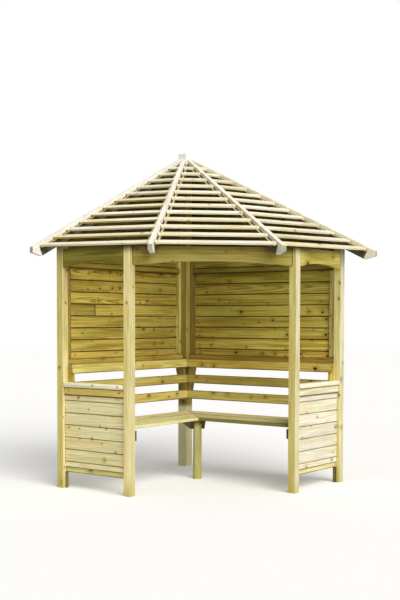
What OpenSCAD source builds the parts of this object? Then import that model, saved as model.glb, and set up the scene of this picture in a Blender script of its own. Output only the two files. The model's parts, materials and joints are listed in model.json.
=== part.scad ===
// Corner arbor: a five-sided timber shelter with two boarded back walls that meet at a
// right angle, an L-shaped bench, two low side panels, arched head beams and an open
// slatted roof of four rafters that fan out from the tall corner post.
//
// The part stands on z = 0 with its front towards -Y. The origin is the middle of the
// corner post's foot. One half is drawn along a wall (x along the wall from the corner
// post, y towards the inside, z up) and the other half is its mirror image.

/* [Plan] */
// Back wall, from the middle of the corner post to the middle of the outer post
wall_length = 1440; // [1000:10:2000]
// Side, from the middle of the outer post to the middle of the front post
side_depth = 634; // [400:2:900]

/* [Posts] */
// Width of the four outer posts and of the seat leg
post_w = 58; // [45:1:90]
// Width of the tall corner post
corner_w = 84; // [70:1:120]
// How far the corner post stands above the rafters that meet it
corner_rise = 42; // [10:1:120]

/* [Roof] */
// Plan distance that the rafters run out past the middle of the outer posts
eaves_overhang = 294.5; // [150:0.5:400]
// Rise of a rafter for each unit of plan length
roof_pitch = 0.48; // [0.35:0.01:0.6]
// Plan angle between one rafter and the next
rafter_spread = 30; // [30:1:30]
// Depth of the inner rafters' notch at the front beam's front face
rafter_notch = 8.8; // [3:0.2:20]
// Thickness of a rafter
rafter_t = 33; // [25:1:45]
// Depth of a rafter, measured upright
rafter_d = 102; // [80:1:130]
// Height of the upright cut at a rafter's lower end
rafter_nose = 41; // [20:1:60]
// Plan length of the slanted cut under a rafter's lower end
rafter_cut = 88; // [40:1:150]
// Number of slats in each roof panel
slat_count = 12; // [6:1:14]
// Width of a slat
slat_w = 46; // [30:1:70]
// Thickness of a slat and of the battens under the slats
slat_t = 15; // [10:1:22]
// Upright drop from a rafter's top edge to the top of the slats
slat_drop = 13; // [0:1:40]
// Plan distance from the point where the rafters' lines meet to the highest slat's lower edge
slat_first = 236.6; // [200:0.2:400]
// Plan distance from the lowest slat's lower edge back to the line of the rafter ends
slat_eaves = 62; // [20:1:150]
// Width of the battens under the slats
batten_w = 16; // [10:1:40]
// Space between a batten and its rafter
batten_gap = 9; // [2:1:40]

/* [Head beams] */
// Height of the arched beams' top, which sets the height of the walls and the roof
beam_top = 1722; // [1400:2:2100]
// Depth of an arched beam at its ends
beam_h = 130; // [90:2:180]
// Thickness of an arched beam
beam_t = 33; // [25:1:40]
// Rise of the arch cut into a beam
arch_rise = 28; // [10:1:60]
// Length of the straight stretch at each end of an arch
arch_land = 12; // [5:1:60]
// Set-back of a side beam from the post's outer face
beam_setback = 3; // [0:1:10]
// Set-back of the front beam from the front posts' nearest corners
front_beam_setback = 18; // [10:1:40]

/* [Back walls] */
// Height of the walls' lower edge
wall_z = 890; // [800:2:1000]
// Thickness of the wall boards and the side boards
board_t = 14; // [10:1:20]
// Drop from the arched beams' top to the head rail's lower edge
head_rail_drop = 128; // [60:2:200]
// Height of a wall's head rail
rail_h = 42; // [30:1:60]
// Height of a wall's low rail
wall_low_rail_h = 42; // [30:1:70]
// Depth of a wall rail from the boards inwards
rail_d = 36; // [25:1:50]
// Width of the upright at a wall's outer end
stile_w = 57; // [40:1:80]
// Width of the upright in the corner
corner_stile_w = 45; // [35:1:80]
// Depth of a wall upright
stile_d = 18; // [12:1:30]

/* [Side panels] */
// Height of the armrest's top
arm_top = 765; // [600:5:820]
// Thickness of the armrest
arm_t = 34; // [18:1:40]
// Radius of the armrest's outer edge
arm_round = 12; // [3:1:16]
// Height of the rail under the armrest
side_rail_h = 54; // [30:1:65]
// Set-back of that rail from the posts' outer face
side_rail_setback = 12; // [5:1:14]
// Height of the side panel's lower edge
side_z = 115; // [60:5:200]
// Set-back of the side boards from the posts' outer face
side_board_setback = 22; // [16:1:30]
// Height of the side boards' lower edge above the panel's lower edge
side_board_lift = 38; // [10:1:50]
// Height of the lower side rail
low_rail_h = 58; // [45:1:80]
// Width of the foot under a side panel, beside the outer post
foot_w = 24; // [20:1:36]
// Thickness of that foot
foot_t = 11; // [8:1:20]

/* [Seat] */
// Height of the seat's top
seat_top = 476; // [400:2:520]
// Thickness of the seat boards
seat_t = 26; // [18:1:35]
// Plan distance from a wall's line of posts to the seat's rear edge
seat_back = 121; // [110:1:200]
// Set-back of the seat's front edge from the front posts
seat_setback = 40; // [0:1:120]
// Number of seat boards on each side
seat_boards = 2; // [2:1:4]
// Gap between seat boards
seat_gap = 6; // [3:1:12]
// Set-back of the seat leg's middle from the seat's front edges
leg_setback = 41; // [35:1:120]
// Thickness of a seat bearer
bearer_t = 27; // [20:1:40]
// Thickness of a seat bearer at the bench's ends
end_bearer_t = 15; // [12:1:40]
// Height of a seat bearer
bearer_h = 69; // [50:1:100]

/* [Backrest] */
// Number of backrest boards on each side
back_boards = 3; // [2:1:3]
// How far the backrest's upper edge stands above the wall's lower edge
back_lap = 6; // [0:1:40]
// Space between the seat and the lowest backrest board
back_clear = 95; // [40:1:140]
// Width of a backrest board
back_board_w = 70; // [50:1:90]
// Thickness of a backrest board
back_board_t = 16; // [12:1:25]
// Distance of the backrest's face from the corner post's face, at its upper edge
back_reach = 28; // [20:1:60]
// Lean of the backrest, in degrees
back_lean = 6; // [0:0.5:10]
// Thickness of a backrest bracket
bracket_t = 18; // [12:1:30]
// Distance from the corner post's face to the far side of the bracket beside it
bracket_reach = 57; // [45:1:120]
// Width of a backrest bracket at its lower end
bracket_low_w = 54; // [40:1:80]
// Distance the top backrest board runs past the outer post's inner face
back_top_lap = 19; // [0:1:30]

/* [Hidden] */
$fn = 48;
// Sides of the large circle that an arch is a small part of
arch_fn = 360;
// Clearance where slanted parts are seated on each other
seat_fit = 0.3;
// Space between a side panel's foot and the lower rail
foot_fit = 1;
// Overshoot of a cutting shape
cut = 10;

post_offset = (corner_w - post_w) / 2;          // outer posts are flush with the corner post outside
outer_face = wall_length + post_w / 2;          // posts' outer face, in x
inner_face = wall_length - post_w / 2;          // posts' inner face, in x
wall_out = -corner_w / 2;                       // walls' outer face, in y
post_in = wall_out + post_w;                    // outer post's face towards the inside, in y
front_y = side_depth - post_offset;             // middle of the front post, in y
front_post_y0 = front_y - post_w / 2;
front_post_y1 = front_y + post_w / 2;
corner_face = corner_w / 2;
corner_stile_x = corner_face + corner_stile_w;  // face of the wall's upright in the corner, in x

// Heights that hang down from the beams' top, and the side panel's heights
beam_z = beam_top - beam_h;
head_rail_z = beam_top - head_rail_drop;
arm_under = arm_top - arm_t;
side_rail_z = arm_under - side_rail_h;

// Front beam, in the row frame
front_corner_y = -(wall_length + front_y) / sqrt(2) - post_w / sqrt(2);
front_post_x = (wall_length - front_y) / sqrt(2);
front_beam_y0 = front_corner_y + front_beam_setback;

// The four rafters' lines meet behind the corner post's middle, so that the outer rafters
// are flush with the outside of the walls. The inner rafters rest on the front beam, which
// they cross at half the spread from the middle line, and this sets the roof's height.
half_spread = rafter_spread / 2;
fan_back = corner_w / 2 - rafter_t / 2;
rafter_run = wall_length + fan_back + eaves_overhang;
front_run = (fan_back * sqrt(2) - front_beam_y0) / cos(half_spread);
fan_top = beam_top - rafter_notch + rafter_d + roof_pitch * front_run;
function rafter_z(r) = fan_top - roof_pitch * r;
corner_top = rafter_z(corner_face + fan_back) + corner_rise;

// Each roof panel is a plane between two rafters, with its slats across the middle line
panel_run = rafter_run * cos(half_spread);
panel_pitch = roof_pitch / cos(half_spread);
panel_angle = atan(panel_pitch);
slat_rise = slat_t / cos(panel_angle);
slat_low_p = panel_run - slat_eaves;
slat_step = (slat_low_p - slat_first) / (slat_count - 1);

seat_front = front_post_y0 - seat_setback;
seat_depth = seat_front - seat_back;
leg_at = seat_front - leg_setback;
seat_under = seat_top - seat_t;
bearer_z = seat_under - bearer_h;
seat_board_w = (seat_depth - (seat_boards - 1) * seat_gap) / seat_boards;

back_top = wall_z + back_lap;
back_low = seat_top + back_clear;
back_board_step = (back_top - back_board_w - back_low) / (back_boards - 1);
back_face = corner_face + back_reach;
back_slope = tan(back_lean);
function back_face_y(z) = back_face + (back_top - z) * back_slope;
function back_rear_y(z) = back_face_y(z) - back_board_t / cos(back_lean);

post_color = [0.87, 0.83, 0.62];
frame_color = [0.80, 0.74, 0.52];
wall_color = [0.66, 0.56, 0.29];
panel_color = [0.90, 0.86, 0.70];
beam_color = [0.78, 0.74, 0.50];
seat_color = [0.80, 0.74, 0.52];
roof_color = [0.95, 0.92, 0.82];

// ---- Frames ----

// From a wall's own frame to the row frame
module left_half() { rotate([0, 0, 225]) children(); }
module right_half() { mirror([1, 0, 0]) left_half() children(); }

// From the rafters' fan point, along a plan angle measured from the left wall
module fan(angle) { left_half() translate([-fan_back, -fan_back, 0]) rotate([0, 0, angle]) children(); }

// A plan rectangle from (x0, y0) to (x1, y1), raised from z0 to z1
module block(x0, x1, y0, y1, z0, z1) {
    translate([x0, y0, z0]) cube([x1 - x0, y1 - y0, z1 - z0]);
}

// An outline in (x, z), extruded from y0 to y1
module upright_x(y0, y1, points) {
    translate([0, y1, 0]) rotate([90, 0, 0]) linear_extrude(y1 - y0) polygon(points);
}

// An outline in (y, z), extruded from x0 to x1
module upright_y(x0, x1, points) {
    translate([x0, 0, 0]) rotate([90, 0, 90]) linear_extrude(x1 - x0) polygon(points);
}

// ---- Posts ----

// Underside of an outer rafter above a wall, at a distance x along the wall
function rafter_under(x) = rafter_z(x + fan_back) - rafter_d;

module corner_post() {
    color(post_color) rotate([0, 0, 45])
        block(-corner_w / 2, corner_w / 2, -corner_w / 2, corner_w / 2, 0, corner_top);
}

module outer_post() {
    color(post_color) upright_x(wall_out, post_in, [
        [inner_face, 0], [outer_face, 0],
        [outer_face, rafter_under(outer_face)], [inner_face, rafter_under(inner_face)]
    ]);
}

// Front posts and side beams stop under the slats, where the roof comes lower than the beams
module front_post() {
    color(post_color) difference() {
        block(inner_face, outer_face, front_post_y0, front_post_y1, 0, beam_top);
        side_slat_space();
    }
}

// ---- Back walls ----

module wall_boards() {
    color(wall_color)
        block(corner_face, inner_face, wall_out, wall_out + board_t, wall_z, head_rail_z + rail_h);
}

module gable_boards() {
    gable_z = head_rail_z + rail_h;
    color(wall_color) upright_x(wall_out, wall_out + board_t, [
        [corner_face, gable_z], [inner_face, gable_z],
        [inner_face, rafter_under(inner_face)], [corner_face, rafter_under(corner_face)]
    ]);
}

// A rail of a wall's frame, from x0 to the outer post
module wall_rail(x0, z, height) {
    rail_y = wall_out + board_t;
    color(frame_color) block(x0, inner_face, rail_y, rail_y + rail_d, z, z + height);
}

// The upright in the corner passes the head rail, and the other one stops under it
module wall_uprights() {
    upright_y0 = wall_out + board_t;
    upright_y1 = upright_y0 + stile_d;
    upright_z = wall_z + wall_low_rail_h;
    color(frame_color) {
        block(corner_face, corner_stile_x, upright_y0, upright_y1, upright_z, beam_top);
        block(inner_face - stile_w, inner_face, upright_y0, upright_y1, upright_z, head_rail_z);
    }
}

// ---- Side panels ----

module side_boards() {
    board_x = outer_face - side_board_setback;
    color(panel_color)
        block(board_x - board_t, board_x, post_in, front_post_y0, side_z + side_board_lift, side_rail_z);
}

module side_rails() {
    board_front = outer_face - side_board_setback;
    board_back = board_front - board_t;
    color(frame_color) {
        block(board_back, outer_face - side_rail_setback, post_in, front_post_y0, side_rail_z, arm_under);
        block(inner_face, board_back, post_in, front_post_y0, side_z, side_z + low_rail_h);
        // A foot beside the outer post, under the lower rail
        block(board_front - foot_w, board_front, post_in, post_in + foot_t, 0, side_z - foot_fit);
    }
}

module armrest() {
    color(panel_color) translate([0, front_post_y0, 0]) rotate([90, 0, 0])
        linear_extrude(front_post_y0 - post_in) union() {
            translate([inner_face, arm_under]) square([post_w - arm_round, arm_t]);
            translate([inner_face, arm_under + arm_round]) square([post_w, arm_t - 2 * arm_round]);
            for (z = [arm_under + arm_round, arm_top - arm_round])
                translate([outer_face - arm_round, z]) circle(arm_round);
        }
}

// ---- Head beams ----

// A beam's outline: straight underneath for a land at each end, with an arch between
module arch_outline(length, land) {
    half = length / 2 - land;
    radius = (half * half + arch_rise * arch_rise) / (2 * arch_rise);
    difference() {
        square([length, beam_top - beam_z]);
        translate([length / 2, arch_rise - radius]) circle(radius, $fn = arch_fn);
    }
}

module side_beam() {
    beam_x = outer_face - beam_setback;
    color(beam_color) difference() {
        translate([beam_x - beam_t, post_in, beam_z]) rotate([90, 0, 90])
            linear_extrude(beam_t) arch_outline(front_post_y0 - post_in, arch_land);
        side_slat_space();
    }
}

module front_beam() {
    length = 2 * front_post_x;
    color(beam_color) difference() {
        translate([-front_post_x, front_beam_y0 + beam_t, beam_z]) rotate([90, 0, 0])
            linear_extrude(beam_t) arch_outline(length, arch_land + post_w / sqrt(2));
        for (side = [0, 1]) mirror([side, 0, 0]) left_half()
            block(inner_face, outer_face, front_post_y0, front_post_y1, beam_z - cut, beam_top + cut);
    }
}

// ---- Roof ----

// A rafter from a plan distance r0 outwards, kept on its own side of the lines midway to
// the rafters next to it
module rafter_blank(r0) {
    reach = rafter_run * tan(half_spread);
    intersection() {
        upright_x(-rafter_t / 2, rafter_t / 2, [
            [r0, rafter_z(r0)], [rafter_run, rafter_z(rafter_run)],
            [rafter_run, rafter_z(rafter_run) - rafter_nose],
            [rafter_run - rafter_cut, rafter_z(rafter_run - rafter_cut) - rafter_d],
            [r0, rafter_z(r0) - rafter_d]
        ]);
        linear_extrude(fan_top) polygon([[0, 0], [rafter_run, -reach], [rafter_run, reach]]);
    }
}

// An outer rafter lies along the top of a wall and stops square against the corner post
module outer_rafter() {
    color(roof_color) translate([-fan_back, -fan_back, 0]) rafter_blank(corner_face + fan_back);
}

// An inner rafter is cut to the corner post's face and notched over the front beam
module inner_rafter() {
    color(roof_color) difference() {
        translate([-fan_back, -fan_back, 0]) rotate([0, 0, rafter_spread]) rafter_blank(fan_back * sqrt(2));
        block(-corner_face, corner_face, -corner_face, corner_face, 0, corner_top + cut);
        rotate([0, 0, -225]) translate([-front_post_x, front_beam_y0, 0])
            cube([2 * front_post_x, beam_t, beam_top]);
    }
}

// The wedge of plan between two rafters' inner sides, each side moved in by a margin
module panel_wedge(margin) {
    start = (rafter_t / 2 + margin) / sin(half_spread);
    reach = (panel_run - start) * tan(half_spread);
    linear_extrude(fan_top) polygon([[start, 0], [panel_run, -reach], [panel_run, reach]]);
}

// The plane of the slats' undersides: x down the slope from the fan point, z square to it
module panel_plane() {
    translate([0, 0, fan_top - slat_drop - slat_rise]) rotate([0, panel_angle, 0]) children();
}

// All that lies above a side panel's slats' undersides, in the wall's own frame
module side_slat_space() {
    translate([-fan_back, -fan_back, 0]) rotate([0, 0, half_spread]) panel_plane()
        translate([0, -rafter_run, -seat_fit]) cube([2 * rafter_run, 2 * rafter_run, fan_top]);
}

module roof_slats() {
    half_width = panel_run * tan(half_spread);
    color(roof_color) intersection() {
        panel_wedge(seat_fit);
        panel_plane() for (i = [0 : slat_count - 1])
            translate([(slat_low_p - i * slat_step) / cos(panel_angle) - slat_w, -half_width, 0])
                cube([slat_w, 2 * half_width, slat_t]);
    }
}

module roof_battens() {
    lean = atan(tan(half_spread) * cos(panel_angle));
    length = (slat_low_p - slat_first) / cos(panel_angle) / cos(lean) + slat_w;
    side = (rafter_t / 2 + batten_gap) / cos(half_spread);
    low_x = slat_low_p / cos(panel_angle) + batten_w / 2;
    low_y = slat_low_p * tan(half_spread) - side;
    color(roof_color) panel_plane() for (s = [0, 1]) mirror([0, s, 0])
        translate([low_x, low_y, -slat_t]) rotate([0, 0, lean])
            translate([-length, -batten_w, 0]) cube([length, batten_w, slat_t]);
}

// ---- Seat ----

module seat_leg() {
    leg_y = -leg_at * sqrt(2);
    color(post_color) block(-post_w / 2, post_w / 2, leg_y - post_w / 2, leg_y + post_w / 2, 0, seat_under);
}

// Two bearers run from the corner post past both sides of the leg to the seat's front corner
module seat_leg_bearers() {
    front = seat_front * sqrt(2);
    color(frame_color) difference() {
        for (side = [0, 1]) mirror([side, 0, 0]) rotate([0, 0, -90])
            upright_x(post_w / 2, post_w / 2 + bearer_t, [
                [0, bearer_z], [front - bearer_h, bearer_z], [front, seat_under], [0, seat_under]
            ]);
        rotate([0, 0, 45]) block(-corner_face, corner_face, -corner_face, corner_face, 0, seat_top);
    }
}

module end_bearer() {
    color(frame_color)
        block(inner_face - end_bearer_t, inner_face, wall_out, front_post_y1, bearer_z, seat_under);
}

// Boards run along the wall and are mitred where the two sides meet
module seat_boards_half() {
    color(seat_color) for (i = [0 : seat_boards - 1]) {
        y0 = seat_back + i * (seat_board_w + seat_gap);
        y1 = y0 + seat_board_w;
        translate([0, 0, seat_under]) linear_extrude(seat_t)
            polygon([[y0 + seat_fit, y0], [inner_face, y0], [inner_face, y1], [y1 + seat_fit, y1]]);
    }
}

// ---- Backrest ----

// Removes what lies past the diagonal between the two walls, so that both sides meet in a mitre
module mitre_cut() {
    reach = 2 * back_face_y(back_low);
    linear_extrude(back_top + cut) polygon([[0, 0], [seat_fit, 0], [seat_fit + reach, reach], [0, reach]]);
}

module backrest_boards() {
    color(seat_color) difference() {
        for (i = [0 : back_boards - 1]) {
            z1 = back_top - i * back_board_step;
            z0 = z1 - back_board_w;
            end_x = i == 0 ? inner_face + back_top_lap : inner_face;
            upright_y(cut, end_x, [
                [back_face_y(z0), z0], [back_face_y(z1), z1], [back_rear_y(z1), z1], [back_rear_y(z0), z0]
            ]);
        }
        mitre_cut();
    }
}

// Tapered brackets hang under the wall's low rail, one by the corner and one on the outer post
module backrest_brackets() {
    color(frame_color) difference() {
        for (x = [corner_face + bracket_reach - bracket_t, inner_face - bracket_t])
            upright_y(x, x + bracket_t, [
                [back_rear_y(back_low) - bracket_low_w, back_low],
                [back_rear_y(back_low) - seat_fit, back_low],
                [back_rear_y(wall_z) - seat_fit, wall_z],
                [wall_out, wall_z]
            ]);
        mitre_cut();
    }
}

corner_post();
left_half() outer_post();  // left_outer_post
right_half() outer_post();  // right_outer_post
left_half() front_post();  // left_front_post
right_half() front_post();  // right_front_post
left_half() wall_boards();  // left_wall_boards
right_half() wall_boards();  // right_wall_boards
left_half() gable_boards();  // left_gable_boards
right_half() gable_boards();  // right_gable_boards
left_half() wall_rail(corner_face, wall_z, wall_low_rail_h);  // left_wall_low_rail
right_half() wall_rail(corner_face, wall_z, wall_low_rail_h);  // right_wall_low_rail
left_half() wall_rail(corner_stile_x, head_rail_z, rail_h);  // left_wall_head_rail
right_half() wall_rail(corner_stile_x, head_rail_z, rail_h);  // right_wall_head_rail
left_half() wall_uprights();  // left_wall_uprights
right_half() wall_uprights();  // right_wall_uprights
left_half() side_boards();  // left_side_boards
right_half() side_boards();  // right_side_boards
left_half() side_rails();  // left_side_rails
right_half() side_rails();  // right_side_rails
left_half() armrest();  // left_armrest
right_half() armrest();  // right_armrest
left_half() side_beam();  // left_arched_beam
right_half() side_beam();  // right_arched_beam
front_beam();  // front_arched_beam
left_half() outer_rafter();  // left_outer_rafter
left_half() inner_rafter();  // left_inner_rafter
right_half() inner_rafter();  // right_inner_rafter
right_half() outer_rafter();  // right_outer_rafter
fan(half_spread) roof_slats();  // left_roof_slats
fan(3 * half_spread) roof_slats();  // centre_roof_slats
fan(5 * half_spread) roof_slats();  // right_roof_slats
fan(half_spread) roof_battens();  // left_roof_battens
fan(3 * half_spread) roof_battens();  // centre_roof_battens
fan(5 * half_spread) roof_battens();  // right_roof_battens
seat_leg();
seat_leg_bearers();
left_half() end_bearer();  // left_end_bearer
right_half() end_bearer();  // right_end_bearer
left_half() seat_boards_half();  // left_seat_boards
right_half() seat_boards_half();  // right_seat_boards
left_half() backrest_boards();  // left_backrest_boards
right_half() backrest_boards();  // right_backrest_boards
left_half() backrest_brackets();  // left_backrest_brackets
right_half() backrest_brackets();  // right_backrest_brackets
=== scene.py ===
import json
import math
import random
from itertools import cycle

import bmesh
import bpy
from mathutils import Matrix, Vector
from mathutils.bvhtree import BVHTree


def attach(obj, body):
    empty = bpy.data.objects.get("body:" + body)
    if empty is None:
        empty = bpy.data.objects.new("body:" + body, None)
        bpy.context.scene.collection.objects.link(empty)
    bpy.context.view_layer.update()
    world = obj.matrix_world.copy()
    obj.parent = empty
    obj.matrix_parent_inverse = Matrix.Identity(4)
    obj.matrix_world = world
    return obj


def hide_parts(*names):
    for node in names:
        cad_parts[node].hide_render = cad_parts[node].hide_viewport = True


# The corner arbor's looks. A piece of the same size stands for each CAD node, made from the
# node's own solids: planed timbers get rounded arrises, boarded panels become tongued boards,
# and every timber carries its own grain. All sizes are in metres, in the CAD model's frame.

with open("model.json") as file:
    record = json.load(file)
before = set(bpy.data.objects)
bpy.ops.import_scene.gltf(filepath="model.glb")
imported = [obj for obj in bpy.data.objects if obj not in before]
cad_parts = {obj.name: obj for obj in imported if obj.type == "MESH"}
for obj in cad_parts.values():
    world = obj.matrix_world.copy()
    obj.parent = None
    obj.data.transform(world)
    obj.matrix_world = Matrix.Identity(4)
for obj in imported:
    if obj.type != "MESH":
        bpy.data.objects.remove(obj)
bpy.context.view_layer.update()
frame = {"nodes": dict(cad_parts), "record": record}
SLOT_OF = {part["node"]: part["material_slot"] for part in frame["record"]["subparts"]}

# ---- Sizes ----

WELD = 1e-5                      # vertices nearer than this are one
FLAT = math.radians(0.6)         # faces that turn less than this are one face
SLIGHT = 0.1                     # part of a unit vector that is too small to tell its way by
CREASE = math.radians(20)        # edges that turn more than this are rounded
ARRIS_STEPS = 2                  # faces across a rounded arris

# Limits on cosines between directions, and on the parts of a face's unit normal
ACROSS_GRAIN = 0.9               # least between the grain and the normal of an end
ALONG_GRAIN = 0.5                # most between the grain and the normal of a side
NARROW_SIDE = 0.72               # least between a timber's width and a narrow side's normal
PARALLEL = 0.95                  # least between two timbers that never cross
LEFT_FACING = -0.3               # most x of the faces that look left
DOWNWARD = -0.6                  # most z of the faces that look down
NOT_UPWARD = 0.5                 # most z of the battens' faces with painted shade
UNDER_EDGE = 0.3                 # and of the inner rafters'
INWARD = 0.7                     # least part of the normal of a face with painted shade that leads inwards
INSIDE = 0.5                     # and of a gable board's

BOARD_COVER = 0.088              # height that one tongued board covers
SIDE_FIRST_COVER = 0.040         # height that a side panel's lowest board covers
BOARD_CHAMFER = 0.0042           # chamfer along a board's long edges
BOARD_GAP = 0.0018               # open joint between two boards
TONGUE_LENGTH = 0.006
TONGUE_THICKNESS = 0.0046
GROOVE_DEPTH = 0.007
GROOVE_WIDTH = 0.005
BOARD_LEAN = 0.004               # how far a board may lean, in radians
BUTT_GAP = 0.0016                # open joint where a board is made of two lengths

SCREW_RADIUS = 0.0042
NAIL_RADIUS = 0.0028
HEAD_RISE = 0.0005               # how far a head stands out of the wood
HEAD_SINK = 0.0010               # how far it reaches into it
HEAD_SIDES = 16                  # a multiple of 4, for the cross in a screw's head
HEAD_TOP = 0.86                  # radius of a head's flat top, in radii of the head
RIM_RISE = 0.4                   # height of its rim, in heights of the head
CROSS_TIP = 0.6                  # reach of the cross's arms, in radii of the head
CROSS_NOTCH = 0.2                # and of the notches between them
ARRIS_REACH = 0.004              # more than any timber's rounding
HEAD_ROOM = 1.5                  # wood that a screw needs around it, in radii of its head
SCREW_SHARES = (-0.5, 0.5)       # places of two screws, in halves of a board's width
NAIL_SHARES = (-0.45, 0.45)      # and of two nails
WALL_NAIL_END = 0.028            # distance of the walls' nails from the boards' ends
SIDE_NAIL_END = 0.016            # and of the side panels' nails
NAILED_HALF = 0.03               # half the width of the narrowest board that takes two nails

# ---- Frames ----

# A wall's own frame: x along the wall from the corner post, y towards the inside, z up
LEFT_WALL = Matrix.Rotation(math.radians(225), 4, "Z")
RIGHT_WALL = Matrix.Scale(-1, 4, (1, 0, 0)) @ LEFT_WALL
WALLS = {"left": LEFT_WALL, "right": RIGHT_WALL}
# A side panel's own frame: x from the outer post to the front post, y towards the inside
SIDES = {side: wall @ Matrix.Rotation(math.radians(90), 4, "Z") for side, wall in WALLS.items()}
X, Y, Z = Vector((1, 0, 0)), Vector((0, 1, 0)), Vector((0, 0, 1))


def local_points(node, place):
    """A CAD node's vertices, seen in the frame that place leads from."""
    back = place.inverted()
    return [back @ v.co for v in frame["nodes"][node].data.vertices]


def local_box(node, place):
    """The lowest and highest corners of a CAD node in that frame."""
    points = local_points(node, place)
    low = Vector([min(p[i] for p in points) for i in range(3)])
    high = Vector([max(p[i] for p in points) for i in range(3)])
    return low, high


# ---- Timbers ----


def solids(node):
    """Each solid of a CAD node as a mesh with whole flat faces, in a fixed order."""
    bm = bmesh.new()
    bm.from_mesh(frame["nodes"][node].data)
    bmesh.ops.remove_doubles(bm, verts=bm.verts, dist=WELD)
    bmesh.ops.dissolve_limit(bm, angle_limit=FLAT, verts=bm.verts, edges=bm.edges)
    unseen = set(bm.verts)
    found = []
    for seed in bm.verts:
        if seed not in unseen:
            continue
        unseen.discard(seed)
        island, front = [seed], [seed]
        while front:
            vertex = front.pop()
            for edge in vertex.link_edges:
                other = edge.other_vert(vertex)
                if other in unseen:
                    unseen.discard(other)
                    island.append(other)
                    front.append(other)
        part = bmesh.new()
        made = {v: part.verts.new(v.co) for v in island}
        for face in bm.faces:
            if face.verts[0] in made:
                part.faces.new([made[v] for v in face.verts])
        part.normal_update()
        found.append(part)
    bm.free()
    return sorted(found, key=lambda part: [round(c, 3) for c in middle(part)])


def middle(bm):
    """The middle of a mesh's box, height first."""
    corners = [[f(v.co[i] for v in bm.verts) for f in (min, max)] for i in (2, 0, 1)]
    return [sum(pair) / 2 for pair in corners]


def one_way(direction):
    """A unit vector along a line, always the same way round: upwards, if the line slopes."""
    unit = direction.normalized()
    lead = next(c for c in (unit.z, unit.x, unit.y) if abs(c) > SLIGHT)
    return unit * (1 if lead > 0 else -1)


def grain_axes(bm):
    """Unit vectors along a timber, across its widest face, and into that face."""
    edge = max(bm.edges, key=lambda e: round(e.calc_length(), 5))
    along = one_way(edge.verts[1].co - edge.verts[0].co)
    sides = [f for f in bm.faces if abs(f.normal.dot(along)) < ALONG_GRAIN]
    widest = max(sides, key=lambda f: round(f.calc_area(), 6))
    depth = one_way(widest.normal - along * widest.normal.dot(along))
    across = depth.cross(along)
    return along, (-across if across.z < 0 else across), depth


class Timber:
    """Where a timber lies: its middle, its axes along, across and into it, and half its size."""

    def __init__(self, place, axes, low, high):
        self.middle = place @ sum(((a * (b + c) / 2) for a, b, c in zip(axes, low, high)), Vector())
        self.axes = [(place.to_3x3() @ axis).normalized() for axis in axes]
        self.half = [(c - b) / 2 for b, c in zip(low, high)]


TIMBERS = {}                     # the timbers of each node, in the order they were made
PLAIN = (1, 1, 1)                # a multiplier of painted light and shade that changes nothing


def riding(name, mesh, material):
    """A new piece with that mesh and material, which rides on the arbor."""
    mesh.materials.append(material)
    piece = bpy.data.objects.new(name, mesh)
    bpy.context.scene.collection.objects.link(piece)
    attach(piece, "root")
    return piece


class Batch:
    """Collects timbers, which become one mesh with the attributes that the wood reads:
    grain, metres along, across and into the timber; board, its length, width and seed;
    ends, 1 on the faces across the grain; turned, 1 on the faces along its narrow sides;
    shelter, 1 on the faces whose colour takes a dark painted shade; painted_light, the painted
    light and shade that its colour is multiplied by, of the two given the second one on the faces
    that look left."""

    def __init__(self, seed, sheltered=None):
        self.draws = random.Random(seed)
        self.painted_light = (PLAIN, PLAIN)
        self.sheltered = sheltered
        self.points, self.faces, self.smooth = [], [], []
        self.grain, self.board = [], []
        self.ends, self.turned, self.shelter, self.painted_lights = [], [], [], []
        self.timbers = []

    def add(self, bm, place, axes):
        """Takes in one timber: a mesh in its own frame, where that lies, and its grain."""
        along, across, depth = axes
        reach = [[v.co.dot(axis) for v in bm.verts] for axis in axes]
        start, stop = [min(r) for r in reach], [max(r) for r in reach]
        facts = (stop[0] - start[0], stop[1] - start[1], self.draws.random())
        self.timbers.append(Timber(place, axes, start, stop))
        first = len(self.points)
        number = {v: first + i for i, v in enumerate(bm.verts)}
        for i, vertex in enumerate(bm.verts):
            self.points.append(place @ vertex.co)
            self.grain.append([reach[k][i] - start[k] for k in range(3)])
            self.board.append(facts)
        mirrored = place.determinant() < 0
        for face in bm.faces:
            corners = [number[v] for v in face.verts]
            self.faces.append(corners[::-1] if mirrored else corners)
            self.smooth.append(face.smooth)
            self.ends.append(float(abs(face.normal.dot(along)) > ACROSS_GRAIN))
            self.turned.append(float(abs(face.normal.dot(across)) > NARROW_SIDE))
            # Faces that take painted shade, and each face's multiplier of painted light and shade
            self.shelter.append(float(bool(self.sheltered and self.sheltered(face.normal))))
            to_left = (place.to_3x3() @ face.normal).x < LEFT_FACING
            self.painted_lights.append(self.painted_light[1 if to_left else 0])
        bm.free()

    def make(self, name, node, material):
        """Makes one piece of the collected timbers, which stands for a CAD node."""
        mesh = bpy.data.meshes.new(name)
        mesh.from_pydata(self.points, [], self.faces)
        mesh.polygons.foreach_set("use_smooth", self.smooth)
        for key, values, domain in (
            ("grain", self.grain, "POINT"), ("board", self.board, "POINT"),
            ("painted_light", self.painted_lights, "FACE"),
        ):
            layer = mesh.attributes.new(key, "FLOAT_VECTOR", domain)
            layer.data.foreach_set("vector", [x for value in values for x in value])
        for key in ("ends", "turned", "shelter"):
            layer = mesh.attributes.new(key, "FLOAT", "FACE")
            layer.data.foreach_set("value", getattr(self, key))
        TIMBERS[node] = self.timbers
        piece = riding(name, mesh, material)
        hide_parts(node)


def rounded(bm, radius):
    """Rounds a timber's arrises. The flat faces stay flat, and only the arrises shade smoothly."""
    edges = [e for e in bm.edges if len(e.link_faces) == 2 and e.calc_face_angle() > CREASE]
    for edge in bm.edges:
        if len(edge.link_faces) == 2 and FLAT < edge.calc_face_angle() <= CREASE:
            for face in edge.link_faces:
                face.smooth = True
    made = bmesh.ops.bevel(
        bm, geom=edges, offset=radius, segments=ARRIS_STEPS, profile=0.5,
        affect="EDGES", clamp_overlap=True,
    )
    for face in made["faces"]:
        face.smooth = True
    bm.normal_update()
    return bm


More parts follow.
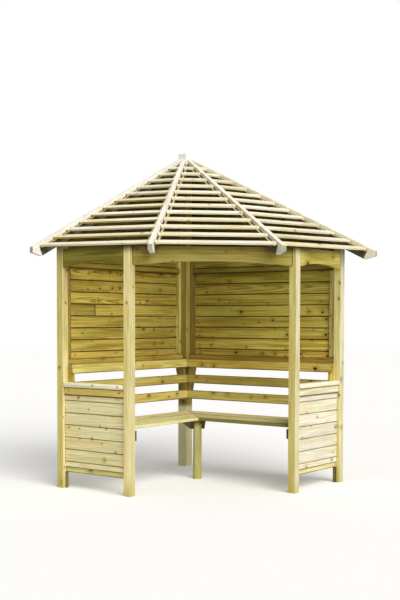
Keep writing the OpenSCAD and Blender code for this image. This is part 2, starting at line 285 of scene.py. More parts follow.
def planed(node, material, arris, painted_lights, sheltered):
    """Makes planed timbers that follow a CAD node's solids. painted_lights, each a pair of
    multipliers of painted light and shade, go to the timbers in turn, from the lowest."""
    batch = Batch(node, sheltered)
    for bm, painted_light in zip(solids(node), cycle(painted_lights)):
        batch.painted_light = painted_light
        axes = grain_axes(bm)
        batch.add(rounded(bm, arris), Matrix.Identity(4), axes)
    batch.make(node + ".timber", node, material)


# ---- Tongued boards ----


def board_outline(z0, z1, y0, y1, groove, tongue):
    """A tongued board's section in (y, z), with a chamfer at each corner."""
    middle_y, c = (y0 + y1) / 2, BOARD_CHAMFER
    points = [(y0, z0 + c), (y0 + c, z0)]
    if groove:
        for side, z in ((-1, z0), (-1, z0 + GROOVE_DEPTH), (1, z0 + GROOVE_DEPTH), (1, z0)):
            points.append((middle_y + side * GROOVE_WIDTH / 2, z))
    points += [(y1 - c, z0), (y1, z0 + c), (y1, z1 - c), (y1 - c, z1)]
    if tongue:
        for side, z in ((1, z1), (1, z1 + TONGUE_LENGTH), (-1, z1 + TONGUE_LENGTH), (-1, z1)):
            points.append((middle_y + side * TONGUE_THICKNESS / 2, z))
    points += [(y0 + c, z1), (y0, z1 - c)]
    return points


def tongued_board(x0, x1, outline):
    """A board of that section from x0 to x1."""
    bm = bmesh.new()
    rings = [[bm.verts.new((x, y, z)) for y, z in outline] for x in (x0, x1)]
    bm.faces.new(rings[0][::-1])
    bm.faces.new(rings[1])
    for i, corner in enumerate(rings[0]):
        j = (i + 1) % len(outline)
        bm.faces.new((corner, rings[0][j], rings[1][j], rings[1][i]))
    bmesh.ops.recalc_face_normals(bm, faces=bm.faces)
    return bm


def cut_above(bm, point, normal):
    """Removes what lies on a plane's far side and closes the cut."""
    cut = bmesh.ops.bisect_plane(
        bm, geom=bm.verts[:] + bm.edges[:] + bm.faces[:], plane_co=point, plane_no=normal,
        clear_outer=True,
    )
    edges = [g for g in cut["geom_cut"] if isinstance(g, bmesh.types.BMEdge)]
    if edges:
        bmesh.ops.contextual_create(bm, geom=edges)
    bm.normal_update()


def boarded(node, place, first_cover, material, painted_lights, butts, sheltered):
    """Makes a panel of tongued boards in a CAD slab's place. The lowest board covers
    first_cover, and where the slab's top slopes the boards are cut to it. painted_lights are the
    painted light and shade of the lowest board and of the highest one. butts gives, for a board
    counted from 0 at the bottom, where along it two lengths meet. The lowest board gets no painted
    shade."""
    batch = Batch(node)
    low, high = local_box(node, place)
    points = local_points(node, place)
    left_top = max(p.z for p in points if p.x < low.x + WELD)
    right_top = max(p.z for p in points if p.x > high.x - WELD)
    slope = Vector((left_top - right_top, 0, high.x - low.x)).normalized()
    z0, z1, number = low.z, low.z + first_cover, 0
    while z0 < high.z - BOARD_GAP:
        last = z1 > high.z - BOARD_CHAMFER
        share = (z0 - low.z) / (high.z - low.z)
        painted_light = [a + (b - a) * share for a, b in zip(*painted_lights)]
        batch.painted_light = (painted_light, painted_light)
        batch.sheltered = sheltered if number else None
        top = high.z if last else z1 - BOARD_GAP
        outline = board_outline(z0, top, low.y, high.y, z0 > low.z, not last)
        lean = Matrix.Rotation(batch.draws.uniform(-BOARD_LEAN, BOARD_LEAN), 4, "X")
        centre = Vector((0, (low.y + high.y) / 2, (z0 + top) / 2))
        ends = [low.x, high.x]
        if number in butts:
            ends = [low.x, butts[number] - BUTT_GAP / 2, butts[number] + BUTT_GAP / 2, high.x]
        for x0, x1 in zip(ends[::2], ends[1::2]):
            bm = tongued_board(x0, x1, outline)
            bm.transform(Matrix.Translation(centre) @ lean @ Matrix.Translation(-centre))
            if abs(left_top - right_top) > WELD:
                cut_above(bm, Vector((low.x, 0, left_top)), slope)
            if bm.faces:
                batch.add(bm, place, (X, Z, Y))
        z0, z1, number = z1, z1 + BOARD_COVER, number + 1
    batch.make(node + ".boards", node, material)


# ---- Wood ----


def colour(red, green, blue):
    """A colour written as it shows, from 0 to 255, for a shader."""
    shares = [c / 255 for c in (red, green, blue)]
    return (*(c / 12.92 if c < 0.04045 else ((c + 0.055) / 1.055) ** 2.4 for c in shares), 1)


class Shader:
    """Short calls that add nodes to a new material and link them."""

    def __init__(self, name):
        self.material = bpy.data.materials.new(name)
        self.material.use_nodes = True
        self.nodes = self.material.node_tree.nodes
        self.surface = self.nodes["Principled BSDF"]

    def feed(self, socket, value):
        """Links a socket into another, or sets its value."""
        if isinstance(value, bpy.types.NodeSocket):
            self.material.node_tree.links.new(value, socket)
        elif value is not None:
            socket.default_value = value

    def add(self, kind, inputs=(), **settings):
        node = self.nodes.new("ShaderNode" + kind)
        for key, value in settings.items():
            setattr(node, key, value)
        for key, value in dict(inputs).items():
            self.feed(node.inputs[key], value)
        return node

    def number(self, name):
        """A number that a piece's mesh carries."""
        return self.add("Attribute", attribute_name=name).outputs["Fac"]

    def triple(self, name):
        """Three numbers that a piece's mesh carries."""
        return self.add("Attribute", attribute_name=name).outputs["Vector"]

    def split(self, vector):
        return self.add("SeparateXYZ", {0: vector}).outputs[:3]

    def join(self, x, y, z):
        return self.add("CombineXYZ", {0: x, 1: y, 2: z}).outputs[0]

    def math(self, operation, a, b=None, c=None):
        return self.add("Math", {0: a, 1: b, 2: c}, operation=operation).outputs[0]

    def vector(self, operation, a, b=None):
        return self.add("VectorMath", {0: a, 1: b}, operation=operation).outputs[0]

    def length(self, vector):
        return self.add("VectorMath", {0: vector}, operation="LENGTH").outputs["Value"]

    def ramp(self, value, low, high, to_low=0.0, to_high=1.0):
        """A smooth step from to_low to to_high as the value goes from low to high."""
        inputs = {"Value": value, "From Min": low, "From Max": high}
        inputs.update({"To Min": to_low, "To Max": to_high})
        return self.add("MapRange", inputs, interpolation_type="SMOOTHSTEP").outputs[0]

    def mix(self, factor, a, b, blend="MIX"):
        node = self.add("Mix", data_type="RGBA", blend_type=blend)
        for index, value in ((0, factor), (6, a), (7, b)):
            self.feed(node.inputs[index], value)
        return node.outputs[2]

    def noise(self, vector, along, across, detail=2.0):
        """Noise with so many features a metre along the grain and across it."""
        scaled = self.vector("MULTIPLY", vector, (along, across, across))
        return self.add("TexNoise", {"Vector": scaled, "Scale": 1.0, "Detail": detail}).outputs[0]


KNOT_ALONG = 0.12                # one knot may lie in each cell of this length
KNOT_ACROSS = 0.075              # and this width
KNOT_STRETCH = 0.8               # a knot's width for each unit of its length
KNOT_SLANT = 0.35                # how far along a knot moves as it runs through a timber
KNOT_LEAST = 0.0030              # radius of the smallest knots
KNOT_RAGGED = 0.006              # how uneven a knot's outline is
KNOT_TURN = 0.010                # how far the rings swerve around a knot
FACE_SHIFT = 9.0                 # moves the knots of a timber's narrow sides away from the wide
RING_LEAST = 0.0040              # width of the narrowest growth rings
RING_MORE = 0.0050               # how much wider they may be
RING_WANDER = 0.012              # how far the rings wander along a timber
RING_RIPPLE = 0.0014             # how far they ripple
PITH_REACH = 0.16                # how deep behind a board the tree's middle may lie
PITH_SLANT = 0.06                # how far the tree's middle may lean along a timber
TIMBER_SHIFT = (71.0, 29.0, 13.0)  # moves each timber to another place in the noise
WARM_SHIFT = (3.1, 0.7, 0.0)     # and these two the noise of the stains
COOL_SHIFT = (9.4, 5.2, 0.0)

BAND_WIDTH = 0.026               # width of the strip along some boards' tops
BAND_SOLID = 0.016               # and how much of it has its full colour
JOINT_FROM, JOINT_TO = 0.0085, 0.0035        # a joint's shade starts and is deepest this far
CONTACT_FROM, CONTACT_TO = 0.0080, 0.0020    # from a board's edge, or from a timber's end
RAFTER_TAIL = 0.072              # length of a rafter's end beyond the slats
BACKREST_FOOT = 0.50             # heights at which the corner post's painted light and shade change
ROOF_FOOT = 1.74
RAFTERS_FOOT = 2.44
FOOT_DAMP = 0.20                 # height that damp reaches in a post's foot
FOOT_WET = 0.06                  # height up to which the foot is wet through
SOFT = 0.02                      # half the height over which the corner post's painted light and shade change

KNOT = colour(48, 27, 8)
KNOT_HALO = colour(140, 96, 40)
JOINT = colour(44, 30, 8)
GREY_END = colour(120, 120, 86)
# Painted light and shade on the corner post: a silver top that is partly weathering and partly
# painted light, painted light on the foot's inner faces, and painted shade multiplied into the
# inner faces above the foot
SILVER_AND_PAINTED_LIGHT = colour(252, 248, 236)
FOOT_PAINTED_LIGHT = colour(255, 247, 200)
INNER_PAINTED_SHADE = colour(194, 188, 144)


class Wood(Shader):
    """Softwood, one kind of detail a method. shade is its colour so far."""

    def __init__(self, name, colours):
        super().__init__(name)
        self.pale, self.late, self.tan, self.green = (colour(*c) for c in colours)
        grain = self.triple("grain")
        self.along, self.across, self.depth = self.split(grain)
        self.long, self.wide, seed = self.split(self.triple("board"))
        self.turned = self.number("turned")
        # The faces that take a dark painted shade
        self.sheltered = self.number("shelter")
        draws = self.add("TexWhiteNoise", {"W": seed}, noise_dimensions="1D").outputs["Color"]
        self.draw_a, self.draw_b, self.draw_c = self.split(draws)
        shift = self.vector("MULTIPLY", self.join(seed, seed, seed), TIMBER_SHIFT)
        self.place = self.vector("ADD", grain, shift)
        self.fibre = self.noise(self.place, 5, 260, 3)
        self.shade = self.pale

    def cover(self, factor, tone, blend="MIX"):
        """Puts a tone over the colour so far."""
        self.shade = self.mix(factor, self.shade, tone, blend)

    def both(self, a, b):
        """The product of two shares."""
        return self.math("MULTIPLY", a, b)

    def from_far(self, total, at):
        """How far a place is from a timber's far end or far edge."""
        return self.math("SUBTRACT", total, at)

    def add_knots(self, share, size):
        """Knots, round on every side: some cells of a grid have none. Sets where they are,
        their halos, and how fresh each is."""
        x, y, _ = self.split(self.place)
        x = self.math("MULTIPLY_ADD", self.depth, KNOT_SLANT, x)
        narrow = self.math("SUBTRACT", self.math("ADD", self.depth, FACE_SHIFT), y)
        y = self.math("MULTIPLY_ADD", self.turned, narrow, y)
        in_cells = self.vector("DIVIDE", self.join(x, y, 0.0), (KNOT_ALONG, KNOT_ACROSS, 1.0))
        cells = self.add("TexVoronoi", {"Vector": in_cells, "Scale": 1.0, "Randomness": 0.8},
                         voronoi_dimensions="2D")
        offset = self.vector("SUBTRACT", in_cells, cells.outputs["Position"])
        offset = self.vector("MULTIPLY", offset, (KNOT_ALONG * KNOT_STRETCH, KNOT_ACROSS, 0.0))
        chance, large, self.fresh = self.split(cells.outputs["Color"])
        there = self.math("LESS_THAN", chance, share)
        radius = self.math("MULTIPLY_ADD", self.math("POWER", large, 2.0), size, KNOT_LEAST)
        rough = self.noise(self.place, 140, 140)
        ragged = self.math("MULTIPLY_ADD", rough, KNOT_RAGGED, self.length(offset))
        reach = self.math("DIVIDE", self.math("SUBTRACT", ragged, KNOT_RAGGED / 2), radius)
        self.knot = self.both(self.ramp(reach, 1.1, 0.7), there)
        self.halo = self.both(self.ramp(reach, 4.5, 0.9), there)

    def add_rings(self):
        """Growth rings around a middle that lies beside or behind the timber and leans along
        it. Sets where the late wood is."""
        side = self.both(self.wide, self.math("MULTIPLY_ADD", self.draw_a, 1.5, -0.25))
        pith_y = self.math("SUBTRACT", self.across, side)
        deep = self.math("MULTIPLY_ADD", self.draw_b, PITH_REACH, -PITH_REACH / 2)
        lean = self.math("MULTIPLY_ADD", self.draw_c, PITH_SLANT, -PITH_SLANT / 2)
        pith_z = self.math("SUBTRACT", self.depth, deep)
        pith_z = self.math("MULTIPLY_ADD", self.along, lean, pith_z)
        rings = self.length(self.join(0.0, pith_y, pith_z))
        for swerve, amount in (
            (self.noise(self.place, 1.8, 9), RING_WANDER),
            (self.noise(self.place, 8, 70), RING_RIPPLE),
            (self.halo, KNOT_TURN),
        ):
            rings = self.math("MULTIPLY_ADD", swerve, amount, rings)
        spacing = self.math("MULTIPLY_ADD", self.draw_c, RING_MORE, RING_LEAST)
        turn = self.math("FRACT", self.math("DIVIDE", rings, spacing))
        self.late_wood = self.both(self.ramp(turn, 0.35, 0.85), self.ramp(turn, 1.0, 0.92))

    def add_streaks(self, contrast, stain):
        """Late wood and streaks along the grain, and blotches of tan and green stain."""
        streak = self.noise(self.place, 1.6, 46, 4)
        dark = self.both(self.late_wood, contrast)
        dark = self.math("MULTIPLY_ADD", self.ramp(streak, 0.45, 0.68), contrast, dark)
        self.cover(self.math("MINIMUM", dark, 1.0), self.late)
        warm = self.noise(self.vector("ADD", self.place, WARM_SHIFT), 2.6, 15, 2)
        self.cover(self.ramp(warm, 0.5, 0.74, 0.0, stain), self.tan)
        cool = self.noise(self.vector("ADD", self.place, COOL_SHIFT), 2.0, 9, 3)
        self.cover(self.ramp(cool, 0.46, 0.74, 0.0, stain), self.green)

    def add_levels(self, spread, painted_corner_shade):
        """How light each timber and each of its fibres is."""
        level = self.math("MULTIPLY_ADD", self.draw_b, spread, -spread / 2)
        level = self.math("ADD", level, self.ramp(self.fibre, 0.3, 0.7, 0.82, 1.15))
        # Painted shade: boards darker towards the corner, where shade falls
        if painted_corner_shade:
            level = self.both(level, self.ramp(self.along, *painted_corner_shade))
        self.cover(1.0, self.join(level, level, level), "MULTIPLY")

    def add_joints(self, joint, contact):
        """The dark of the joints along boards, and of what both their ends butt against."""
        if joint:
            to_edge = self.math("MINIMUM", self.across, self.from_far(self.wide, self.across))
            line = self.ramp(to_edge, JOINT_FROM, JOINT_TO, 0.0, joint)
            self.cover(self.both(line, self.math("SUBTRACT", 1.0, self.turned)), JOINT)
        if contact:
            to_end = self.math("MINIMUM", self.along, self.from_far(self.long, self.along))
            self.cover(self.ramp(to_end, CONTACT_FROM, CONTACT_TO, 0.0, contact), JOINT)

    def add_shelter(self, tone, below_top):
        """Painted shade: a dark tone on the faces that lie in shade under the roof. Where it starts
        below a timber's top, a rafter's end beyond the slats stays free of it."""
        amount = self.sheltered
        if below_top:
            below = self.from_far(self.wide, self.across)
            lower = self.ramp(below, below_top, below_top + 0.003)
            inner = self.ramp(self.along, RAFTER_TAIL, RAFTER_TAIL + 0.006)
            amount = self.both(amount, self.both(lower, inner))
        self.cover(amount, self.mix(0.1, tone, self.shade))

    def add_painted_post_light(self, tone, foot, roof, top):
        """Painted light and shade on a post: its faces with painted shade take painted light below
        the foot's height, painted shade above it, and the tone, a darker painted shade, above the
        roof's height. Above the top it is silver all round, partly weathering and partly painted
        light."""
        above_foot = self.ramp(self.along, foot - SOFT, foot + SOFT)
        self.cover(self.both(above_foot, self.sheltered), INNER_PAINTED_SHADE, "MULTIPLY")
        low = self.ramp(self.along, foot + SOFT, foot - SOFT, 0.0, 0.9)
        self.cover(self.both(low, self.sheltered), FOOT_PAINTED_LIGHT)
        high = self.ramp(self.along, roof - 3 * SOFT, roof + SOFT, 0.0, 0.8)
        self.cover(self.both(high, self.sheltered), tone)
        self.cover(self.ramp(self.along, top - SOFT / 2, top + SOFT / 2), SILVER_AND_PAINTED_LIGHT)

    def finished(self):
        """The material, with its colour, its roughness and its relief."""
        self.feed(self.surface.inputs["Base Color"], self.shade)
        rough = self.math("MULTIPLY_ADD", self.fibre, 0.18, 0.56)
        self.feed(self.surface.inputs["Roughness"], rough)
        self.surface.inputs["Specular IOR Level"].default_value = 0.15
        height = self.math("MULTIPLY_ADD", self.late_wood, 0.5, self.fibre)
        height = self.math("MULTIPLY_ADD", self.knot, -0.8, height)
        bump = self.add("Bump", {"Strength": 0.4, "Distance": 0.0006, "Height": height})
        self.feed(self.surface.inputs["Normal"], bump.outputs[0])
        return self.material


def pine(
    name, colours, knots=0.35, knot_size=0.008, contrast=0.7, stain=0.7, spread=0.2, golden=0.0,
    painted_corner_shade=None, edge=None, band=None, end=None, joint=0.0, contact=0.0, shelter=None,
    shelter_from=0.0, painted_eaves_shadow=None, damp=False, painted_post_light=None,
):
    """A softwood material. colours are its pale, late, tan and green wood, and:

    knots         share of the cells that hold a knot
    knot_size     how much larger than the smallest a knot may be
    contrast      how plain the rings and streaks are
    stain         how strong the tan and green blotches are
    spread        how much timbers differ in level
    golden        how tan some timbers are all over
    painted_corner_shade  painted shade along a board's length, darker towards the corner: from, to,
    and its two levels
    edge          colour of the narrow sides
    band          colour of a strip along some boards' tops
    end           colour of the end grain
    joint         how dark a board's long edges are
    contact       how dark both its ends are
    shelter  colour of the dark painted shade on the faces in shade under the roof
    shelter_from  how far below a timber's top that painted shade starts
    painted_eaves_shadow  colour of the painted shadow beneath the eaves, how far down it reaches,
    whether the timber stands
    damp          whether a post's foot is damp
    painted_post_light  the three heights of Wood.add_painted_post_light, which takes the painted
    shade's colour
    """
    w = Wood(name, colours)
    w.add_knots(knots, knot_size)
    w.add_rings()
    w.add_streaks(contrast, stain)
    if golden:
        w.cover(w.ramp(w.draw_c, 0.55, 0.85, 0.0, golden), w.tan)
    if edge:
        w.cover(w.both(w.turned, w.ramp(w.draw_a, 0.2, 0.9, 0.35, 0.95)), edge)
    if band:
        strip = w.ramp(w.from_far(w.wide, w.across), BAND_WIDTH, BAND_SOLID)
        w.cover(w.both(strip, w.ramp(w.draw_c, 0.7, 0.8, 0.0, 0.6)), band)
    w.add_levels(spread, painted_corner_shade)
    w.cover(w.both(w.number("ends"), 0.7 if end else 0.4), end or w.green)
    # Painted light and shade: each face's colour multiplied lighter or darker for how light falls
    # on it
    w.cover(1.0, w.triple("painted_light"), "MULTIPLY")
    w.cover(w.both(w.halo, 0.4), KNOT_HALO)
    w.cover(w.both(w.knot, w.ramp(w.fresh, 0.0, 0.7, 0.45, 1.0)), KNOT)
    w.add_joints(joint, contact)
    # Painted shade: a dark tone on the faces in shade under the roof
    if shelter and not painted_post_light:
        w.add_shelter(shelter, shelter_from)
    # Painted shadow of the eaves: darker near a timber's top
    if painted_eaves_shadow:
        tone, reach_down, upright = painted_eaves_shadow
        from_top = w.from_far(w.long, w.along) if upright else w.from_far(w.wide, w.across)
        w.cover(w.ramp(from_top, reach_down, 0.0, 0.0, 0.85), tone)
    if damp:
        wet = w.math("MULTIPLY_ADD", w.noise(w.place, 9, 30), 0.12, w.along)
        w.cover(w.ramp(wet, FOOT_DAMP, FOOT_WET, 0.0, 0.6), w.green)
    # Painted light and shade on the corner post, by height
    if painted_post_light:
        w.add_painted_post_light(shelter, *painted_post_light)
    return w.finished()


POST_COLOURS = ((240, 227, 172), (212, 190, 114), (226, 196, 126), (196, 186, 96))
POST_LOOK = {"knots": 0.12, "knot_size": 0.006, "contrast": 0.6, "stain": 0.65, "damp": True}
# The posts carry a painted shadow of the eaves at their tops; the outer posts a darker and longer
# one
post_wood = pine(
    "post_wood", POST_COLOURS, painted_eaves_shadow=(colour(100, 98, 30), 0.065, True), **POST_LOOK,
)
outer_post_wood = pine(
    "outer_post_wood", POST_COLOURS, painted_eaves_shadow=(colour(60, 54, 8), 0.20, True), **POST_LOOK,
)
# The corner post carries painted light and shade by height on its inner faces, and a silver top
# that is partly painted light
corner_wood = pine(
    "corner_wood", POST_COLOURS, knots=0.1, contrast=0.9, shelter=colour(66, 54, 24),
    painted_post_light=(BACKREST_FOOT, ROOF_FOOT, RAFTERS_FOOT),
)
frame_wood = pine(
    "frame_wood", ((222, 200, 122), (176, 146, 62), (186, 140, 62), (164, 152, 68)),
    knots=0.22, stain=0.6, joint=0.75, contact=0.6,
)
# The walls carry painted shade that darkens their boards towards the corner; the gables' inner
# faces a dark painted shade
wall_wood = pine(
    "wall_wood", ((214, 192, 100), (156, 130, 46), (176, 132, 52), (150, 142, 56)),
    knots=0.42, contrast=0.9, stain=0.55, spread=0.24, painted_corner_shade=(0.0, 1.3, 0.83, 1.17),
    band=colour(160, 110, 42), joint=0.95, contact=0.7, shelter=colour(34, 26, 9),
)
side_wood = pine(
    "side_wood", ((250, 242, 214), (226, 208, 152), (238, 206, 146), (226, 220, 166)),
    knots=0.3, knot_size=0.006, contrast=0.5, stain=0.5, spread=0.1,
    band=colour(246, 204, 132), joint=0.7, contact=0.6,
)
rail_wood = pine(
    "rail_wood", ((248, 238, 184), (220, 202, 124), (230, 200, 122), (206, 196, 112)),
    knots=0.15, contrast=0.5, joint=0.8, contact=0.6,
)
arm_wood = pine(
    "arm_wood", ((250, 244, 218), (238, 228, 186), (240, 226, 184), (230, 226, 182)),
    knots=0.12, contrast=0.5, spread=0.08, contact=0.6,
)
backrest_wood = pine(
    "backrest_wood", ((240, 224, 166), (200, 174, 96), (212, 176, 96), (188, 178, 100)),
    knots=0.3, knot_size=0.010, joint=0.8, contact=0.4,
)
seat_wood = pine(
    "seat_wood", ((240, 230, 184), (204, 186, 122), (214, 190, 124), (196, 190, 122)),
    knots=0.15, edge=colour(214, 212, 146), joint=0.9, contact=0.8,
)
# The beams carry a painted shadow of the eaves along their tops
beam_wood = pine(
    "beam_wood", ((228, 212, 138), (180, 156, 76), (188, 150, 76), (162, 154, 68)),
    knots=0.35, knot_size=0.014, contact=0.8, painted_eaves_shadow=(colour(66, 62, 10), 0.055, False),
)
ROOF_COLOURS = ((254, 248, 234), (232, 220, 178), (228, 208, 140), (220, 214, 166))
# The slats' undersides and the battens' sides take a dark painted shade
ROOF_LOOK = {
    "knots": 0.12, "contrast": 0.5, "spread": 0.16, "end": GREY_END, "contact": 0.9,
    "shelter": colour(52, 42, 16),
}
roof_wood = pine(
    "roof_wood", ROOF_COLOURS, golden=0.5, edge=colour(240, 230, 190), **ROOF_LOOK,
)
# The left roof panel's copy has darker olive narrow sides and more tan timbers, painted shade
left_roof_painted_shade_wood = pine(
    "left_roof_painted_shade_wood", ROOF_COLOURS, golden=0.6, edge=colour(178, 166, 82), **ROOF_LOOK,
)
# The rafters' faces below the slats take a dark painted shade
rafter_wood = pine(
    "rafter_wood", ((252, 249, 242), (240, 232, 208), (242, 230, 204), (232, 228, 202)),
    knots=0.08, contrast=0.4, spread=0.06, end=GREY_END, shelter=colour(56, 46, 20),
    shelter_from=0.027,
)


def metal():
    """Plated screw heads, dull where the plating has worn."""
    s = Shader("screw_metal")
    spots = s.noise(s.triple("place"), 900, 900, 3)
    tone = s.mix(s.ramp(spots, 0.4, 0.65), colour(150, 132, 84), colour(92, 70, 40))
    s.feed(s.surface.inputs["Base Color"], tone)
    s.surface.inputs["Metallic"].default_value = 0.9
    s.feed(s.surface.inputs["Roughness"], s.ramp(spots, 0.35, 0.7, 0.38, 0.7))
    bump = s.add("Bump", {"Strength": 0.3, "Distance": 0.0002, "Height": spots})
    s.feed(s.surface.inputs["Normal"], bump.outputs[0])
    return s.material


screw_metal = metal()

# ---- The arbor ----

# The wood of each material slot, and the radius of its timbers' arrises
WOOD_OF = {
    "post_timber": (post_wood, 0.003),
    "frame_timber": (frame_wood, 0.002),
    "side_boards": (rail_wood, 0.002),
    "planed_timber": (backrest_wood, 0.003),
    "beam_timber": (beam_wood, 0.0035),
    "roof_timber": (roof_wood, 0.0018),
}
# The nodes that differ from their slot
OWN_WOOD = {
    "corner_post": corner_wood,
    "left_outer_post": outer_post_wood,
    "right_outer_post": outer_post_wood,
    "left_armrest": arm_wood,
    "right_armrest": arm_wood,
    "left_seat_boards": seat_wood,
    "right_seat_boards": seat_wood,
    "left_roof_slats": left_roof_painted_shade_wood,
}
OWN_WOOD.update({node: rafter_wood for node in SLOT_OF if node.endswith("rafter")})
# Painted shade that darkens the battens
BATTEN_PAINTED_SHADE = (0.62, 0.58, 0.46)
# Painted light and shade: what a node's colour is multiplied by, from its lowest timber up, lighter
# or darker for how light falls on it
PAINTED_LIGHT_OF = {
    "left_front_post": [(0.86, 0.89, 0.95)],
    "right_front_post": [(0.88, 0.93, 1.30)],
    "right_outer_post": [(0.95, 1.05, 1.45)],
    "left_arched_beam": [(0.44, 0.44, 0.20)],
    "front_arched_beam": [(0.66, 0.65, 0.43)],
    "right_arched_beam": [(1.14, 1.20, 0.86)],
    "left_wall_head_rail": [(0.50, 0.47, 0.26)],
    "right_wall_head_rail": [(0.40, 0.40, 0.22)],
    "left_wall_low_rail": [(0.86, 0.80, 0.54)],
    "right_wall_low_rail": [(0.72, 0.62, 0.38)],
    "left_wall_uprights": [(0.80, 0.68, 0.50), (1.20, 1.34, 1.50)],
    "right_wall_uprights": [(1.20, 1.30, 1.40), (0.48, 0.44, 0.36)],
    "left_backrest_boards": [(0.93, 0.93, 0.62), (0.74, 0.73, 0.47), (0.92, 0.95, 0.62)],
    "right_backrest_boards": [(0.83, 0.84, 0.54), (0.62, 0.60, 0.33), (0.80, 0.75, 0.38)],
    "left_backrest_brackets": [(0.90, 0.92, 0.72), (0.50, 0.46, 0.36)],
    "right_backrest_brackets": [(0.50, 0.46, 0.36), (0.95, 1.00, 0.80)],
    "left_armrest": [(1.14, 1.18, 1.18)],
    "left_seat_boards": [(1.05, 1.08, 0.99)],
    "right_seat_boards": [(0.86, 0.88, 0.74)],
    "seat_leg": [(0.58, 0.62, 0.46)],
    "left_roof_battens": [BATTEN_PAINTED_SHADE],
    "centre_roof_battens": [BATTEN_PAINTED_SHADE],
    "right_roof_battens": [BATTEN_PAINTED_SHADE],
    "seat_leg_bearers": [(0.20, 0.18, 0.12)],
    "left_end_bearer": [(0.42, 0.38, 0.30)],
    "right_end_bearer": [(0.42, 0.38, 0.30)],
    "left_side_rails": [(0.36, 0.38, 0.24), (1.00, 1.08, 0.86), (0.98, 0.84, 0.46)],
    "right_side_rails": [(0.26, 0.25, 0.16), (0.98, 0.96, 0.90), (1.00, 1.04, 1.45)],
}
# The same painted light and shade for the faces that look left
LEFT_PAINTED_LIGHT_OF = {
    "corner_post": (0.80, 0.88, 0.74),
    "left_outer_post": (0.90, 0.90, 0.62),
    "left_front_post": (1.27, 1.27, 1.34),
    "right_front_post": (0.88, 0.88, 0.62),
    "right_outer_post": (1.12, 1.16, 1.05),
    "right_seat_boards": (0.34, 0.34, 0.22),
    "right_end_bearer": (0.20, 0.18, 0.13),
    "right_inner_rafter": (1.03, 1.04, 0.84),
    "right_outer_rafter": (1.03, 1.04, 0.84),
}
# The same painted light and shade for panels of boards, for their lowest and their highest board
BOARD_PAINTED_LIGHTS_OF = {
    "left_wall_boards": [(1.14, 1.16, 1.18), (0.92, 0.96, 0.78)],
    "right_wall_boards": [(1.34, 1.46, 1.50), (0.74, 0.84, 0.58)],
    "left_gable_boards": [(0.80, 0.80, 0.66), PLAIN],
    "right_gable_boards": [(0.80, 0.84, 0.62), PLAIN],
    "left_side_boards": [(1.06, 1.06, 0.84), (1.06, 1.06, 0.84)],
    "right_side_boards": [(0.94, 0.97, 1.06), (0.94, 0.97, 1.06)],
}
# Boards of two lengths, counted from 0 at the bottom, and how far from the corner post's
# middle the lengths meet
BUTTS_OF = {"left_wall_boards": {4: 1.0765}}


def faces_down(normal):
    return normal.z < DOWNWARD


def faces_the_opening(normal):
    """In the row frame: towards the arbor's front."""
    return normal.y < 0


def faces_inside(normal):
    """In a wall's own frame: towards the inside of the arbor."""
    return normal.y > INSIDE


def faces_sideways_or_down(normal):
    return normal.z < NOT_UPWARD


def under_slats(node):
    """A test for a rafter's faces: those towards slats, and the one underneath."""
    if node.endswith("inner_rafter"):
        return lambda normal: normal.z < UNDER_EDGE
    inwards = Vector((1 if node.startswith("left") else -1, -1, 0))
    return lambda normal: faces_down(normal) or normal.dot(inwards) > INWARD


def sheltered_faces(node):
    """A test for the faces of a node's timbers that take painted shade, or None."""
    if node == "corner_post":
        return faces_the_opening
    if node.endswith("rafter"):
        return under_slats(node)
    if node.endswith("battens"):
        return faces_sideways_or_down
    return faces_down if node.endswith("slats") else None


for side in ("left", "right"):
    # The gables' inner faces take painted shade
    for panel, place, first, wood, sheltered in (
        ("_wall_boards", WALLS[side], BOARD_COVER, wall_wood, None),
        ("_gable_boards", WALLS[side], BOARD_COVER, wall_wood, faces_inside),
        ("_side_boards", SIDES[side], SIDE_FIRST_COVER, side_wood, None),
    ):
        node = side + panel
        painted_lights = BOARD_PAINTED_LIGHTS_OF[node]
        boarded(node, place, first, wood, painted_lights, BUTTS_OF.get(node, {}), sheltered)

for node, slot in sorted(SLOT_OF.items()):
    if node in TIMBERS:
        continue
    wood, arris = WOOD_OF[slot]
    wood = OWN_WOOD.get(node, wood)
    # Painted light and shade for each timber, and for its faces that look left
    painted_lights = [(painted_light, LEFT_PAINTED_LIGHT_OF.get(node, painted_light)) for painted_light in PAINTED_LIGHT_OF.get(node, [PLAIN])]
    planed(node, wood, arris, painted_lights, sheltered_faces(node))

# ---- Screws and nails ----


def crossing(timber, other):
    """How far along a timber's middle line, from its middle, another crosses it, or None."""
    apart = timber.middle - other.middle
    a, b = timber.axes[0], other.axes[0]
    turn = a.dot(b)
    if abs(turn) > PARALLEL:
        return None
    span = 1 - turn * turn
    at = (turn * b.dot(apart) - a.dot(apart)) / span
    other_at = (b.dot(apart) - turn * a.dot(apart)) / span
    inside = abs(at) < timber.half[0] and abs(other_at) < other.half[0] + timber.half[1]
    return at if inside else None


